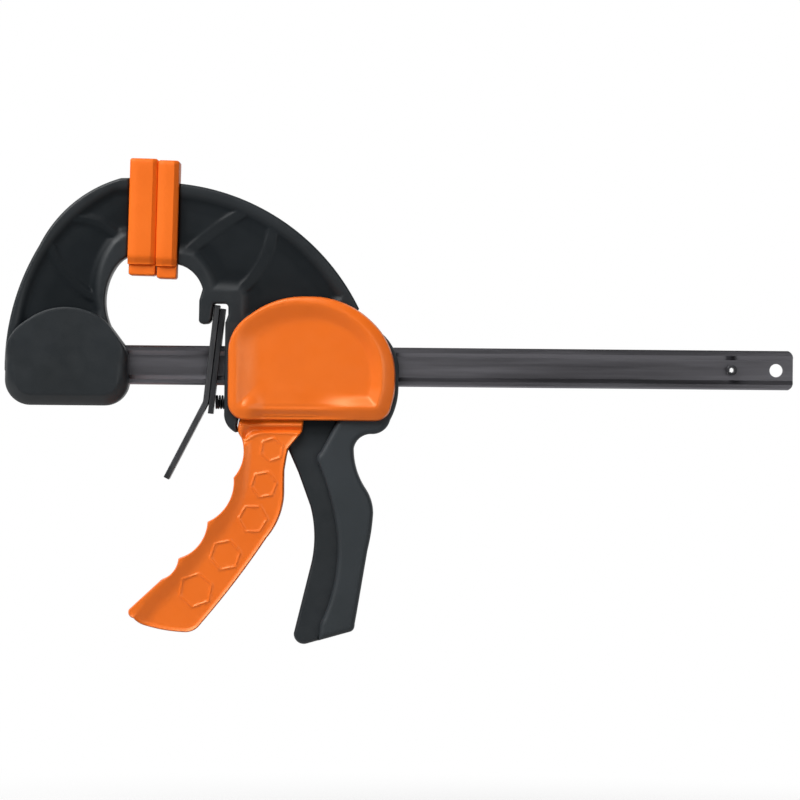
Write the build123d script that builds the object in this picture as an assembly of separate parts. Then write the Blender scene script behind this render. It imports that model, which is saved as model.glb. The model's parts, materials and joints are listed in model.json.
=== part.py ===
"""Quick release bar clamp: a fixed jaw on a steel bar and a trigger driven sliding jaw.

Millimetres. The origin is the centre of the fixed pad's clamping face, +X runs along the bar to its
free end, +Z points from the bar to the jaw tips, and Y runs across the clamp. The jaws are closed.
"""
import os
from math import cos, radians

from build123d import *

# bar: rolled section with a shallow channel along each side
BAR_HEIGHT = 19.0
BAR_WIDTH = 7.0
BAR_WEB = 3.6
BAR_FLANGE = 2.6
BAR_SLOPE = 2.0
BAR_EDGE = 0.8
BAR_Z = -71.4
BAR_START = -56.0
BAR_END = 308.6
BAR_TRIM = (2.4, 4.0)
BAR_TRIM_MIDDLE = (0.7, 1.4)
BAR_TOP = BAR_Z + BAR_HEIGHT / 2
BAR_BOTTOM = BAR_Z - BAR_HEIGHT / 2
HANG_HOLE = (300.5, 3.2)
STOP_X = 278.9
STOP_RADIUS = 2.5
STOP_BORE = 1.2
STOP_HALF = 6.5
STOP_SLOT = 0.3
STOP_SLOT_TURN = 215.0

# widths across the clamp, each half of the whole
WEB_HALF = 8.0
RIB_HALF = 9.1
ARM_WEB_HALF = 8.8
ARM_RIB_HALF = 9.5
RIM_HALF = 10.5
BODY_HALF = 13.0
SPINE_HALF = 8.8
NARROW_HALF = 8.4
BOOT_HALF = 15.0
COVER_HALF = 19.2
CHANNEL_HALF = 3.8
CHANNEL_GAP = 0.3
CHANNEL_END = 121.0

# pads: soft blocks pushed over a flange at each jaw tip, leaning a little off square
PAD_LEAN = 1.15
PAD_HALF = 15.0
PAD_TOP = 28.1
PAD_FOOT = -23.0
PAD_THICK = 13.5
MOVING_THICK = 10.3
MOVING_DROP = -0.6
PAD_SEAM = 0.1
PAD_ROUND = 2.2
LIP_DEPTH = 5.3
LIP_HALF = 11.0
LIP_INSET = 0.6
FLANGE_THICK = 3.0
FLANGE_HALF = 12.0
FLANGE_TOP = 15.0
FLANGE_FOOT = -17.0
NECK_LENGTH = 3.2
NECK_HALF = 8.0

# fixed jaw
RIB_WIDTH = 3.0
BOOT_ROUND = 5.0
JAW_PIN_RADIUS = 2.5
JAW_PIN_X = (-48.0, -28.0)
JAW_PIN_REACH = 10.0

# sliding jaw
SPOKE_WIDTH = 5.2
PIVOT = (57.4, -51.5)
PIN_RADIUS = 3.0
PIN_HALF = 12.4
PIN_RUNNING = 0.05
POCKET_FOOT = (39.3, -100.5)
POCKET_TOP = (47.5, -61.0)
POCKET_HEEL = (89.3, -95.5)
SCREW_PLACES = ((44.5, -58.0), (92.0, -49.5), (101.0, -91.5))
SCREW_RADIUS = 1.5
SCREW_CLEAR = 1.7
SCREW_HEAD = (2.75, 1.3)
SCREW_TIP = 14.4
SCREW_DRIVE = 1.3
SCREW_BORE = 3.0
HEAD_SEAT = 14.9
POST_RADIUS = 3.4
COVER_WALL = 2.2
COVER_RIM = 17.2
BORDER = 5.0
DISH_FLOOR = 16.3
DISH_SLOPE = 6.0
CORNER_LEAST = 0.6
COVER_CORNERS = (
    (35.2, -97.6, 8.5),
    (35.2, -54.2, 21.0),
    (58.2, -37.8, 42.0),
    (92.1, -37.8, 42.0),
    (115.9, -60.4, 35.0),
    (115.9, -84.0, 25.0),
    (112.3, -97.6, 8.0),
)

# trigger
ARM_INNER = 9.2
ARM_OUTER = 12.2
ARM_BOSS = 6.5
ARM_GAP = 0.8
NOSE_X = 67.4
NOSE_ROOT = 60.0
NOSE_RADIUS = 3.5
NOSE_INNER = 4.3
HEX_CENTRES = ((56.6, -111.8), (52.9, -128.8), (47.7, -145.4), (34.6, -163.0), (20.4, -180.1))
HEX_RADII = (5.7, 6.4, 6.9, 7.4, 8.2)
HEX_TURNS = (20.0, 10.0, 0.0, 12.0, 20.0)
HEX_LINE = 0.9
HEX_RISE = 0.4
LEDGE = (42.0, -100.4, 71.4, -98.1)

# the trigger's finger edge, which stands out from its flat sides
FLARE_LINE = (
    (46.4, -95.0),
    (46.2, -121.0),
    (44.9, -128.3),
    (40.5, -141.5),
    (35.9, -149.2),
    (23.5, -164.6),
    (3.2, -187.8),
    (-9.0, -206.0),
)
FLARE_FRONT = -40.0
FLARE_SHIFT = (-5.6, 4.4)
FLARE_RISE = 2.8
FLARE_TOP = -107.3

# drive plates and their spring
PLATE_COUNT = 3
PLATE_THICK = 2.0
PLATE_START = 70.95
PLATE_HALF = 8.6
PLATE_TALL = 42.0
WINDOW_GAP = 0.25
SPRING_END = 111.0
SPRING_ROOM = 12.8
PLATE_ROOM = 2.0
PLATE_TRAVEL = 6.0
PLATE_REST_GAP = 0.6
NOSE_ROOM_TOP = -61.2
DRIVE_COIL = (11.3, 0.85, 7)
BRAKE_COIL = (2.95, 0.5, 7)
BRAKE_SPRING_Z = -89.1
BRAKE_SPRING_START = 29.2
BRAKE_SPRING_END = 39.5
BRAKE_SEAT = 3.7
BRAKE_SEAT_DEPTH = 10.0

# release lever and brake plate: steel strips with a window for the bar
LEVER_HALF = 8.2
LEVER_THICK = 2.8
LEVER_TOP = (29.5, -42.2)
LEVER_BEND = (24.4, -89.2)
LEVER_TIP = (5.5, -126.2)
LEVER_WINDOW = (-59.5, -83.5)
LEVER_ROUND = 6.0
LEVER_CUT = 12.0
BRAKE_HALF = 9.0
BRAKE_THICK = 2.4
BRAKE_LENGTH = 51.2
BRAKE_TOP = (32.3, -43.9)
BRAKE_LEAN = 6.4
BRAKE_LEAN_COSINE = cos(radians(BRAKE_LEAN))
BRAKE_WINDOW = 20.0
STRIP_WINDOW_HALF = 4.1


def outline(start, *steps):
    """A closed face in the XZ plane: a step is a point to run straight to, or an arc's middle and end."""
    here = start
    edges = []
    for step in steps:
        if isinstance(step[0], tuple):
            edges.append(ThreePointArc(here, step[0], step[1]))
            here = step[1]
        else:
            edges.append(Line(here, step))
            here = step
    if here != start:
        edges.append(Line(here, start))
    return Plane.XZ * make_face(edges)


def rounded(*corners):
    """A closed face in the XZ plane with rounded corners, each given as x, z and radius."""
    points = [(x, z) for x, z, radius in corners]
    radii = [radius for x, z, radius in corners]
    return Plane.XZ * make_face(FilletPolyline(*points, radius=radii, close=True))


def rectangle(low_x, low_z, high_x, high_z):
    return outline((low_x, low_z), (high_x, low_z), (high_x, high_z), (low_x, high_z))


def disc(place, radius):
    return Plane.XZ * Pos(*place) * Circle(radius)


def slab(face, half):
    """The face made solid, half its thickness on each side of the XZ plane."""
    return extrude(face, amount=half, both=True)


def band(face, inner, outer):
    """Two equal layers, one on each side, from inner to outer across the clamp."""
    front = extrude(Pos(0, -inner, 0) * face, amount=outer - inner)
    return front + mirror(front, about=Plane.XZ)


def strip(start, middle, end, width):
    """A curved rib of even width, seen from the side."""
    return Plane.XZ * trace(ThreePointArc(start, middle, end), line_width=width)


def bore(place, radius, rear, front):
    """A cylinder across the clamp, from y = rear to the lower y = front."""
    return extrude(Pos(0, rear, 0) * disc(place, radius), amount=rear - front)


def along_bar(sketch, start, end):
    """A sketch in the bar's section plane, extruded from x = start to x = end."""
    return extrude(Plane.YZ.offset(start) * Pos(0, BAR_Z) * sketch, amount=end - start)


def leaned(part):
    return Rot(0, PAD_LEAN, 0) * part


def save(part, node):
    part.label = node
    export_step(part, f"parts/{node}.step")


def bar_section():
    """The bar's section, with broken edges and a shallow channel on each side."""
    half, web = BAR_WIDTH / 2, BAR_WEB / 2
    top, lip = BAR_HEIGHT / 2, BAR_HEIGHT / 2 - BAR_FLANGE
    inner = lip - BAR_SLOPE
    upper = [(half - BAR_EDGE, top), (half, top - BAR_EDGE), (half, lip), (web, inner)]
    right = upper + [(y, -z) for y, z in reversed(upper)]
    left = [(-y, z) for y, z in reversed(right)]
    return make_face(Polyline(*right, *left, close=True))


def make_bar():
    bar = along_bar(bar_section(), BAR_START, BAR_END)
    run, rise = BAR_TRIM
    middle_run, middle_rise = BAR_TRIM_MIDDLE
    for z, way in ((BAR_TOP, -1), (BAR_BOTTOM, 1)):
        middle = (BAR_END - middle_run, z + way * middle_rise)
        corner = outline((BAR_END - run, z), (middle, (BAR_END, z + way * rise)), (BAR_END + 1, z - way))
        bar -= slab(corner, BAR_WIDTH)
    bar -= slab(disc((HANG_HOLE[0], BAR_Z), HANG_HOLE[1]), BAR_WIDTH)
    bar -= slab(disc((STOP_X, BAR_Z), STOP_RADIUS), BAR_WIDTH)
    for x in JAW_PIN_X:
        bar -= slab(disc((x, BAR_Z), JAW_PIN_RADIUS), BAR_WIDTH)
    return bar


def make_stop_pin():
    """A slotted spring pin, proud of the bar on both sides."""
    place = (STOP_X, BAR_Z)
    length = STOP_RADIUS + 1
    slot = Pos(length / 2, 0) * Rectangle(length, STOP_SLOT)
    slot = Plane.XZ * Pos(*place) * Rot(0, 0, STOP_SLOT_TURN) * slot
    return slab(disc(place, STOP_RADIUS) - disc(place, STOP_BORE) - slot, STOP_HALF)


def jaw_flange(side, thickness):
    """The flange and neck of a jaw tip, for the pad on the given side of the seam."""
    back = side * thickness
    root = back - side * NECK_LENGTH
    face = root - side * FLANGE_THICK
    inside = back + side
    neck = rectangle(min(root, inside), FLANGE_FOOT, max(root, inside), FLANGE_TOP)
    plate = rectangle(min(root, face), FLANGE_FOOT, max(root, face), FLANGE_TOP)
    return leaned(slab(neck, NECK_HALF) + slab(plate, FLANGE_HALF))


def make_pad(side, seam, thickness, drop):
    """A soft pad: a tall block, a narrower lip under it, and a pocket for the jaw flange."""
    near, far = side * seam, side * thickness
    low, high = min(near, far), max(near, far)
    foot = PAD_FOOT + drop
    block = slab(rectangle(low, foot, high, PAD_TOP + drop), PAD_HALF)
    block = fillet(block.edges().filter_by(Axis.Z), PAD_ROUND)
    block = fillet(block.faces().sort_by(Axis.Z)[-1].edges(), PAD_ROUND / 2)
    lip = slab(rectangle(low + LIP_INSET, foot + drop - LIP_DEPTH, high, foot), LIP_HALF)
    lip = fillet(lip.edges().filter_by(Axis.Z), PAD_ROUND / 2)
    return leaned(block + lip) - jaw_flange(side, thickness)


def fixed_jaw_side():
    return outline(
        (-13.2, 18.9),
        (-17.4, 18.8),
        ((-38.9, 7.9), (-56.7, -14.0)),
        ((-69.1, -43.2), (-73.0, -74.5)),
        (-66.0, -84.0),
        (-22.0, -80.0),
        (-15.4, -61.7),
        (-22.2, -52.7),
        ((-24.7, -39.0), (-19.3, -23.5)),
        ((-16.6, -20.7), (-13.95, -19.0)),
    )


def fixed_jaw_recess():
    """The sunk web between the rims of the fixed jaw."""
    return outline(
        (-8.0, 14.3),
        (-17.0, 14.3),
        ((-20.0, 14.2), (-23.0, 12.9)),
        ((-50.5, -10.5), (-67.2, -62.0)),
        (-28.0, -62.0),
        (-27.2, -45.0),
        ((-27.9, -28.8), (-20.6, -12.2)),
        (-16.5, -8.6),
        (-8.0, -8.0),
    )


def boot_side():
    """The smooth pillow round the end of the bar."""
    return rounded(
        (-73.0, -91.3, 12.5),
        (-12.9, -91.3, 12.3),
        (-12.9, -65.7, 13.0),
        (-24.8, -49.4, 18.0),
        (-45.5, -38.8, 31.0),
        (-72.6, -57.2, 20.0),
    )


def make_fixed_jaw():
    jaw = slab(fixed_jaw_side(), RIM_HALF) - band(fixed_jaw_recess(), WEB_HALF, RIM_HALF)
    jaw += slab(strip((-45.0, -0.9), (-30.0, -2.6), (-16.0, -13.4), RIB_WIDTH), RIB_HALF)
    jaw += slab(strip((-52.2, -12.5), (-42.8, -28.6), (-26.0, -41.0), RIB_WIDTH), RIB_HALF)
    boot = slab(boot_side(), BOOT_HALF)
    faces = boot.faces().sort_by(Axis.Y)
    boot = fillet(faces[0].edges() + faces[-1].edges(), BOOT_ROUND)
    jaw += boot + jaw_flange(-1, PAD_THICK)
    jaw -= along_bar(Rectangle(BAR_WIDTH, BAR_HEIGHT), BAR_START, 0)
    for x in JAW_PIN_X:
        jaw -= bore((x, BAR_Z), JAW_PIN_RADIUS, BOOT_HALF, -JAW_PIN_REACH)
    return jaw


def make_jaw_pins():
    """Two cross pins that tie the bar into the boot, driven in from the rear."""
    return Part() + [
        bore((x, BAR_Z), JAW_PIN_RADIUS, BOOT_HALF - 1, -JAW_PIN_REACH) for x in JAW_PIN_X
    ]


def arm_side():
    """The sliding arm from the pad to the housing, with the hook in front of the release lever."""
    return outline(
        (10.7, 16.4),
        ((63.0, -2.6), (98.1, -43.2)),
        (88.0, -60.0),
        (37.0, -60.0),
        (33.6, -50.5),
        (34.9, -46.9),
        (34.9, -43.8),
        ((34.4, -42.1), (32.8, -41.4)),
        (29.2, -41.4),
        ((28.0, -41.8), (27.6, -43.0)),
        (26.8, -48.8),
        ((25.9, -50.7), (24.2, -51.3)),
        (23.0, -51.4),
        ((21.3, -50.8), (20.7, -49.0)),
        (20.8, -40.0),
        (22.4, -34.5),
        ((18.2, -27.1), (10.0, -22.5)),
    )


def arm_recess():
    """The sunk web of the arm, outside the hook block and running under the housing."""
    return outline(
        (5.0, 12.4),
        (11.0, 12.0),
        ((53.8, -1.6), (89.8, -37.2)),
        (80.0, -52.0),
        (42.1, -48.0),
        (42.0, -37.7),
        (40.5, -34.4),
        (27.0, -33.8),
        ((23.6, -24.9), (18.1, -18.1)),
        (12.8, -16.7),
        (5.0, -16.0),
    )


def drawn_in(corners, inset):
    """The rounded corners of a shape whose sides all lie inside the given ones, which run clockwise."""
    moved = []
    for index, (x, z, radius) in enumerate(corners):
        last_x, last_z, last_radius = corners[index - 1]
        next_x, next_z, next_radius = corners[(index + 1) % len(corners)]
        before = Vector(x - last_x, z - last_z).normalized()
        after = Vector(next_x - x, next_z - z).normalized()
        step = (before - after) * (inset / before.cross(after).Z)
        moved.append((x + step.X, z + step.Y, max(radius - inset, CORNER_LEAST)))
    return moved


def cover_side(inset=0.0):
    """The covers' D shape, which is also the housing under them, or the same shape drawn in."""
    return rounded(*drawn_in(COVER_CORNERS, inset))


def front_wall():
    """The housing's front wall, with the lip in front of the trigger."""
    return outline(
        (33.6, -50.5),
        (33.4, -82.0),
        (33.4, -94.0),
        ((34.9, -100.1), (39.0, -103.7)),
        (39.9, -103.5),
        POCKET_FOOT,
        POCKET_TOP,
        (47.5, -50.5),
    )


def grip_side():
    """The full-width part of the handle, from the rear of the housing to its foot."""
    return outline(
        (96.0, -60.0),
        (107.3, -53.6),
        ((115.0, -62.4), (117.4, -78.0)),
        ((116.9, -88.0), (113.6, -97.2)),
        ((110.4, -102.1), (104.5, -103.9)),
        ((98.7, -106.2), (96.1, -111.0)),
        ((97.7, -121.5), (101.9, -130.3)),
        ((105.1, -137.2), (105.8, -142.5)),
        ((105.0, -151.0), (103.2, -160.5)),
        (98.4, -190.0),
        (97.3, -196.4),
        ((96.8, -198.4), (95.0, -199.6)),
        (80.0, -203.9),
        (80.8, -195.4),
        ((87.9, -172.0), (88.2, -151.0)),
        ((85.3, -136.3), (79.3, -119.0)),
        ((78.4, -115.8), (80.1, -112.7)),
        POCKET_HEEL,
        (96.0, -90.0),
    )


def narrow_side():
    """The narrow front of the handle, which the trigger's walls pass on both sides."""
    return outline(
        (63.6, -82.0),
        (84.0, -82.0),
        (92.0, -112.0),
        (96.0, -145.0),
        (90.0, -190.0),
        (80.0, -203.9),
        (74.5, -205.5),
        ((69.3, -204.3), (67.9, -200.6)),
        (76.2, -166.1),
        ((77.4, -153.0), (75.4, -139.0)),
        (69.5, -122.9),
        (64.6, -112.0),
        (63.6, -108.0),
    )


def trigger_pocket():
    """The room at each side of the housing where the trigger's arms swing."""
    x, z = PIVOT
    reach = ARM_BOSS + ARM_GAP
    return outline(
        (39.9, -103.5),
        POCKET_FOOT,
        POCKET_TOP,
        (x - reach, z),
        ((x, z + reach), (x + reach, z)),
        (69.5, -62.0),
        (76.0, -80.0),
        (86.0, -91.0),
        POCKET_HEEL,
        (84.0, -103.5),
    )


def mechanism_window():
    """The opening through the housing for the trigger nose, the drive plates and their spring."""
    plates_end = PLATE_START + PLATE_COUNT * PLATE_THICK + PLATE_TRAVEL
    plates_half = PLATE_TALL / 2 + PLATE_ROOM
    nose_room = rectangle(44.0, -82.0, PLATE_START, NOSE_ROOM_TOP)
    plate_room = rectangle(PLATE_START - PLATE_REST_GAP, BAR_Z - plates_half, plates_end, BAR_Z + plates_half)
    spring_room = rectangle(PLATE_START, BAR_Z - SPRING_ROOM, SPRING_END, BAR_Z + SPRING_ROOM)
    mouth = outline((40.0, -104.0), POCKET_FOOT, (43.1, -82.0), (63.6, -82.0), (63.6, -104.0))
    return nose_room + plate_room + spring_room + mouth


def make_sliding_jaw():
    arm = slab(arm_side(), RIM_HALF) - band(arm_recess(), ARM_WEB_HALF, RIM_HALF)
    arm += slab(strip((14.0, -16.5), (27.0, -6.9), (43.5, 2.6), SPOKE_WIDTH), ARM_RIB_HALF)
    arm += slab(strip((56.2, -3.5), (53.3, -19.0), (40.5, -35.0), SPOKE_WIDTH), ARM_RIB_HALF)
    jaw = arm + slab(cover_side() + front_wall() + grip_side(), BODY_HALF)
    jaw -= band(trigger_pocket(), SPINE_HALF, BODY_HALF)
    jaw += slab(narrow_side(), NARROW_HALF) + jaw_flange(1, MOVING_THICK)
    jaw -= slab(mechanism_window(), BODY_HALF)
    channel = Rectangle(2 * CHANNEL_HALF, BAR_HEIGHT + 2 * CHANNEL_GAP)
    jaw -= along_bar(channel, LEVER_BEND[0], CHANNEL_END)
    jaw -= Pos(BRAKE_SPRING_END, 0, BRAKE_SPRING_Z) * Rot(0, -90, 0) * Cylinder(
        BRAKE_SEAT, BRAKE_SEAT_DEPTH, align=(Align.CENTER, Align.CENTER, Align.MIN))
    jaw -= slab(disc(PIVOT, PIN_RADIUS), BODY_HALF)
    for place in SCREW_PLACES:
        jaw -= slab(disc(place, SCREW_CLEAR), BODY_HALF)
    return jaw


def cover_layer(start, end, start_inset, end_inset):
    """A layer of the front cover whose outline shrinks evenly from one depth to the other."""
    low = Pos(0, -start, 0) * cover_side(start_inset)
    high = Pos(0, -end, 0) * cover_side(end_inset)
    return loft([low.face(), high.face()], ruled=True)


def cover_shell():
    """The front cover before its screw holes: a hollow D whose border rises to a ring round a dish."""
    shell = extrude(Pos(0, -BODY_HALF, 0) * cover_side(), amount=COVER_RIM - BODY_HALF)
    shell += cover_layer(COVER_RIM, COVER_HALF, 0, BORDER)
    shell -= cover_layer(COVER_HALF, DISH_FLOOR, BORDER, BORDER + DISH_SLOPE)
    hollow = cover_side(COVER_WALL)
    for place in SCREW_PLACES:
        hollow -= disc(place, POST_RADIUS)
    return shell - extrude(Pos(0, -BODY_HALF, 0) * hollow, amount=HEAD_SEAT - BODY_HALF)


def make_front_cover():
    cover = cover_shell()
    for place in SCREW_PLACES:
        cover -= bore(place, SCREW_RADIUS, -BODY_HALF, -SCREW_TIP)
    return cover


def make_rear_cover():
    cover = mirror(cover_shell(), about=Plane.XZ)
    for place in SCREW_PLACES:
        cover -= bore(place, SCREW_CLEAR, COVER_HALF, BODY_HALF)
        cover -= bore(place, SCREW_BORE, COVER_HALF, HEAD_SEAT)
    return cover


def make_cover_screws():
    """Three screws from the rear cover through the housing into posts in the front cover."""
    head_radius, head_height = SCREW_HEAD
    top = HEAD_SEAT + head_height
    screws = Part()
    for place in SCREW_PLACES:
        screw = bore(place, SCREW_RADIUS, HEAD_SEAT, -SCREW_TIP)
        screw += bore(place, head_radius, top, HEAD_SEAT)
        drive = Plane.XZ * Pos(*place) * RegularPolygon(SCREW_DRIVE, 6)
        screws += screw - extrude(Pos(0, top, 0) * drive, amount=head_height / 2)
    return screws


def trigger_side():
    """The trigger's side wall: three finger cusps in front and an arm up to the pivot pin."""
    x, z = PIVOT
    return outline(
        (40.6, -98.0),
        (40.1, -100.8),
        ((40.3, -103.6), (41.8, -106.2)),
        ((43.0, -112.5), (38.3, -125.5)),
        ((36.1, -137.2), (25.9, -147.0)),
        ((22.8, -156.7), (12.0, -164.9)),
        ((9.5, -171.1), (3.6, -175.3)),
        (-11.6, -189.5),
        ((-11.9, -191.6), (-9.4, -193.8)),
        ((-7.2, -195.8), (-4.6, -197.1)),
        ((5.0, -199.4), (15.0, -200.4)),
        ((19.5, -199.5), (22.9, -196.5)),
        ((40.1, -174.9), (54.1, -154.9)),
        ((60.3, -144.2), (62.4, -131.0)),
        (62.4, -122.0),
        (63.6, -114.6),
        (64.4, -111.4),
        (71.2, -103.0),
        (71.8, -98.0),
        (66.0, -85.0),
        (64.2, -66.0),
        (x + ARM_BOSS, z),
        ((x, z + ARM_BOSS), (x - ARM_BOSS, z)),
        (50.4, -60.0),
    )


def trigger_hollow():
    """The channel between the trigger's walls, open to the rear and at the top."""
    return outline(
        (46.0, -98.0),
        (46.6, -106.0),
        ((46.9, -113.5), (42.3, -127.0)),
        ((39.2, -140.0), (29.5, -149.8)),
        ((25.5, -159.8), (15.0, -168.0)),
        (-3.5, -188.0),
        (9.0, -195.0),
        (30.0, -195.0),
        (90.0, -130.0),
        (90.0, -40.0),
        (30.0, -40.0),
        (30.0, -98.0),
    )


def hexagon_line(centre, radius, turn):
    """One raised hexagon outline of the trigger's grip pattern."""
    return Plane.XZ * Pos(*centre) * Rot(0, 0, turn) * (
        RegularPolygon(radius, 6) - RegularPolygon(radius - HEX_LINE, 6))


def finger_flare():
    """A wedge on each side that widens the trigger evenly towards the fingers."""
    top, foot = FLARE_LINE[0][1], FLARE_LINE[-1][1]
    shift_x, shift_z = FLARE_SHIFT
    corners = [*FLARE_LINE, (FLARE_FRONT, foot), (FLARE_FRONT, top)]
    moved = [(x + shift_x, z + shift_z) for x, z in corners]
    low = Pos(0, -ARM_OUTER, 0) * outline(*corners)
    high = Pos(0, -ARM_OUTER - FLARE_RISE, 0) * outline(*moved)
    kept = trigger_side() - rectangle(FLARE_FRONT, FLARE_TOP, CHANNEL_END, BAR_TOP)
    wedge = loft([low.face(), high.face()], ruled=True) & slab(kept, ARM_OUTER + FLARE_RISE)
    return wedge + mirror(wedge, about=Plane.XZ)


def make_trigger():
    trigger = band(trigger_side(), ARM_INNER, ARM_OUTER) + finger_flare()
    trigger += slab(trigger_side() - trigger_hollow(), ARM_INNER)
    nose = rectangle(NOSE_ROOT, BAR_Z - NOSE_RADIUS, NOSE_X, BAR_Z + NOSE_RADIUS)
    nose += disc((NOSE_X, BAR_Z), NOSE_RADIUS)
    trigger += band(nose, NOSE_INNER, ARM_OUTER)
    ledge = rectangle(*LEDGE)
    trigger += band(ledge, ARM_OUTER, ARM_OUTER + HEX_RISE)
    for hexagon in zip(HEX_CENTRES, HEX_RADII, HEX_TURNS):
        trigger += band(hexagon_line(*hexagon), ARM_OUTER, ARM_OUTER + HEX_RISE)
    return trigger - slab(disc(PIVOT, PIN_RADIUS + PIN_RUNNING), BODY_HALF)


def make_drive_plate(index):
    """One hardened plate with a close window, which bites the bar when the nose pushes it."""
    start = PLATE_START + index * PLATE_THICK
    window = Rectangle(BAR_WIDTH + 2 * WINDOW_GAP, BAR_HEIGHT + 2 * WINDOW_GAP)
    return along_bar(Rectangle(2 * PLATE_HALF, PLATE_TALL) - window, start, start + PLATE_THICK)


def make_coil(start, end, centre_z, coil):
    """A compression spring along the bar's direction, filling x = start to x = end."""
    radius, wire, turns = coil
    height = end - start - 2 * wire
    helix = Helix(height / turns, height, radius)
    spring = sweep(Plane(helix @ 0, z_dir=helix % 0) * Circle(wire), path=helix, is_frenet=True)
    return Pos(start + wire, 0, centre_z) * Rot(0, 90, 0) * spring


def make_release_lever():
    """The bent finger lever in front of the housing."""
    path = FilletPolyline(LEVER_TOP, LEVER_BEND, LEVER_TIP, radius=LEVER_ROUND)
    lever = slab(Plane.XZ * trace(path, line_width=LEVER_THICK), LEVER_HALF)
    high, low = LEVER_WINDOW
    window = Box(LEVER_CUT, 2 * STRIP_WINDOW_HALF, high - low)
    return lever - Pos(LEVER_BEND[0], 0, (high + low) / 2) * window


def make_brake_plate():
    """The leaning plate that holds the jaw on the bar until the release lever straightens it."""
    plate = Pos(0, 0, -BRAKE_LENGTH / 2) * Box(BRAKE_THICK, 2 * BRAKE_HALF, BRAKE_LENGTH)
    middle = (BAR_Z - BRAKE_TOP[1]) / BRAKE_LEAN_COSINE
    plate -= Pos(0, 0, middle) * Box(2 * BRAKE_THICK, 2 * STRIP_WINDOW_HALF, BRAKE_WINDOW)
    return Pos(BRAKE_TOP[0], 0, BRAKE_TOP[1]) * Rot(0, BRAKE_LEAN, 0) * plate


def main():
    os.makedirs("parts", exist_ok=True)
    save(make_bar(), "bar")
    save(make_stop_pin(), "bar_stop_pin")
    save(make_fixed_jaw(), "fixed_jaw")
    save(make_jaw_pins(), "fixed_jaw_pins")
    save(make_pad(-1, 0, PAD_THICK, 0), "fixed_pad")
    save(make_pad(1, PAD_SEAM, MOVING_THICK, MOVING_DROP), "moving_pad")
    save(make_sliding_jaw(), "sliding_jaw")
    save(make_front_cover(), "cover_front")
    save(make_rear_cover(), "cover_rear")
    save(make_cover_screws(), "cover_screws")
    save(slab(disc(PIVOT, PIN_RADIUS), PIN_HALF), "trigger_pin")
    save(make_trigger(), "trigger")
    for index in range(PLATE_COUNT):
        save(make_drive_plate(index), f"drive_plate_{index + 1}")
    plates_end = PLATE_START + PLATE_COUNT * PLATE_THICK
    save(make_coil(plates_end, SPRING_END, BAR_Z, DRIVE_COIL), "drive_spring")
    save(make_coil(BRAKE_SPRING_START, BRAKE_SPRING_END, BRAKE_SPRING_Z, BRAKE_COIL), "brake_spring")
    save(make_release_lever(), "release_lever")
    save(make_brake_plate(), "brake_plate")


if __name__ == "__main__":
    main()
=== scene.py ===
"""Quick release bar clamp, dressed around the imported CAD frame. Shapes are worked out in millimetres."""
import json
import math

import bmesh
import bpy
import numpy as np
from mathutils import Matrix, Vector
from mathutils.geometry import delaunay_2d_cdt


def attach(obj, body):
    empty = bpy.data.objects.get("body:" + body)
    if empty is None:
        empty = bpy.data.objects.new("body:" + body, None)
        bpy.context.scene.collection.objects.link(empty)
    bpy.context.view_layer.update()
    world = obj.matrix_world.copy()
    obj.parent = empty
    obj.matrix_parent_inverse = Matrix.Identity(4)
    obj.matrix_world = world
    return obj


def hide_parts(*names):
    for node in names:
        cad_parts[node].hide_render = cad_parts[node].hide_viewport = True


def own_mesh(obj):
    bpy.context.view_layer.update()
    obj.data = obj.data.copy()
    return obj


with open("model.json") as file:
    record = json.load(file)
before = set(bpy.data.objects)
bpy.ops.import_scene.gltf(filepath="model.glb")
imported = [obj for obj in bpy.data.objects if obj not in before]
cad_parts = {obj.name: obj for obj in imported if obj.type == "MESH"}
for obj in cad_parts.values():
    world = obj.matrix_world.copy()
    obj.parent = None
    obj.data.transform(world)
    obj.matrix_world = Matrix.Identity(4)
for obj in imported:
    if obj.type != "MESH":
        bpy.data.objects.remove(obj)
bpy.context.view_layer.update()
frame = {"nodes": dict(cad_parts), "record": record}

MM = 0.001

# the bar's middle and half height, the lean of the jaws' faces, and the trigger's pivot
BAR_Z = -71.4
BAR_HALF = 9.5
PAD_LEAN = math.radians(1.15)
PIVOT = (57.4, -51.5)
PIN_RADIUS = 3

# half widths across the clamp
RIM = 10.5
BODY = 13
HOUSING = 12.6
NARROW = 8.4
BOOT = 15
TRIGGER = 12.2
PAD = 15


# ---- plane geometry, x along the bar and z up

# spacing of an outline's points, and the most that an arc turns between two, in radians
LINE_STEP = 0.9
ARC_TURN = 0.2
TINY = 1e-9
# share of its own distance that a ring's point keeps from all of the line
RING_CLEAR = 0.985
# where a rounded edge has its points, as shares of its radius
ROUND_STEPS = (0.03, 0.13, 0.3, 0.5, 0.74, 1)


def straight(a, b, step):
    """Points on the way from a to b, without a."""
    count = max(1, round(math.dist(a, b) / step))
    return [(a[0] + (b[0] - a[0]) * i / count, a[1] + (b[1] - a[1]) * i / count) for i in range(1, count + 1)]


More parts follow.
